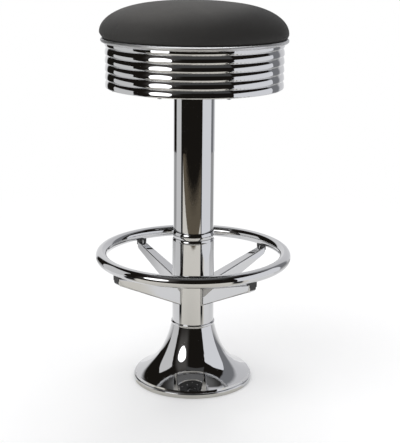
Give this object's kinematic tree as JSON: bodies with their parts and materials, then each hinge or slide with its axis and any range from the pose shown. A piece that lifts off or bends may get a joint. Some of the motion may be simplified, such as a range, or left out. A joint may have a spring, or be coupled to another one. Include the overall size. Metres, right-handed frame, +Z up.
{
  "type": "diner counter stool",
  "caption": "Round swivelling counter stool: domed black vinyl cushion in a ribbed chrome band, on a bolt-down chrome column with a foot ring, tapered arms and a trumpet base.",
  "frame": {"origin": "on the floor at the axis of the column", "axes": "+Z up along the column and the swivel axis; -Y towards the front as pictured, +X to the right"},
  "size_m": [0.3919, 0.392, 0.762],
  "materials": {
    "chrome_bell": "mirror-bright chrome plate on spun steel",
    "chrome_column": "mirror-bright chrome plate on steel tube",
    "chrome_footrest": "mirror-bright chrome plate, polished by shoes on top",
    "chrome_band": "mirror-bright chrome plate on pressed steel",
    "black_plastic": "moulded, fine satin",
    "white_nylon": "turned, matt",
    "black_steel": "satin black paint",
    "mill_steel": "as rolled, oiled",
    "bearing_steel": "ground and polished",
    "zinc_plate": "bright zinc plate",
    "brass_cage": "pressed, satin",
    "bronze": "sintered, oiled",
    "seal_rubber": "matt",
    "plywood": "raw birch ply",
    "black_ply": "black stained ply",
    "foam": "moulded polyurethane foam",
    "black_vinyl": "smooth upholstery vinyl with a fine grain, soft sheen"
  },
  "bodies": {
    "pedestal": {"base_bell": "chrome_bell", "floor_flange": "mill_steel", "flange_gussets": "mill_steel", "inner_post": "mill_steel", "support_collar": "mill_steel", "lower_centring_bush": "white_nylon", "hub_sleeve": "chrome_column", "joint_bush": "white_nylon", "joint_ring": "chrome_column", "upper_tube": "chrome_column", "foot_ring": "chrome_footrest", "ring_screws": "zinc_plate", "bearing_housing": "mill_steel", "housing_grub_screws": "black_steel", "lower_bush": "bronze", "bearing_outer_race": "bearing_steel", "bearing_shield": "seal_rubber", "ring_arm_back_right": "chrome_footrest", "arm_plug_back_right": "black_plastic", "ring_arm_back_left": "chrome_footrest", "arm_plug_back_left": "black_plastic", "ring_arm_front_left": "chrome_footrest", "arm_plug_front_left": "black_plastic", "ring_arm_front_right": "chrome_footrest", "arm_plug_front_right": "black_plastic"},
    "seat": {"bearing_inner_race": "bearing_steel", "spindle": "mill_steel", "spindle_clip": "black_steel", "thrust_washer": "bronze", "swivel_plate": "black_steel", "plate_bolts": "zinc_plate", "plate_washers": "zinc_plate", "plate_tee_nuts": "zinc_plate", "seat_board": "black_ply", "riser_blocks": "plywood", "riser_bolts": "zinc_plate", "cushion_tee_nuts": "zinc_plate", "seat_band": "chrome_band", "band_screws": "zinc_plate", "cushion_board": "plywood", "cushion_foam": "foam", "cushion_cover": "black_vinyl", "cover_staples": "zinc_plate"},
    "ball_set": {"bearing_balls": "bearing_steel", "bearing_cage": "brass_cage"}
  },
  "joints": [
    {"name": "seat_swivel", "type": "hinge", "parent": "pedestal", "child": "seat", "pos_m": [0, 0, 0.588], "axis": [0, 0, 1], "continuous": true},
    {"name": "ball_orbit", "type": "hinge", "parent": "pedestal", "child": "ball_set", "pos_m": [0, 0, 0.5805], "axis": [0, 0, 1], "continuous": true}
  ],
  "couplings": [
    {"joint": "ball_orbit", "follows": "seat_swivel", "ratio": 0.397}
  ]
}
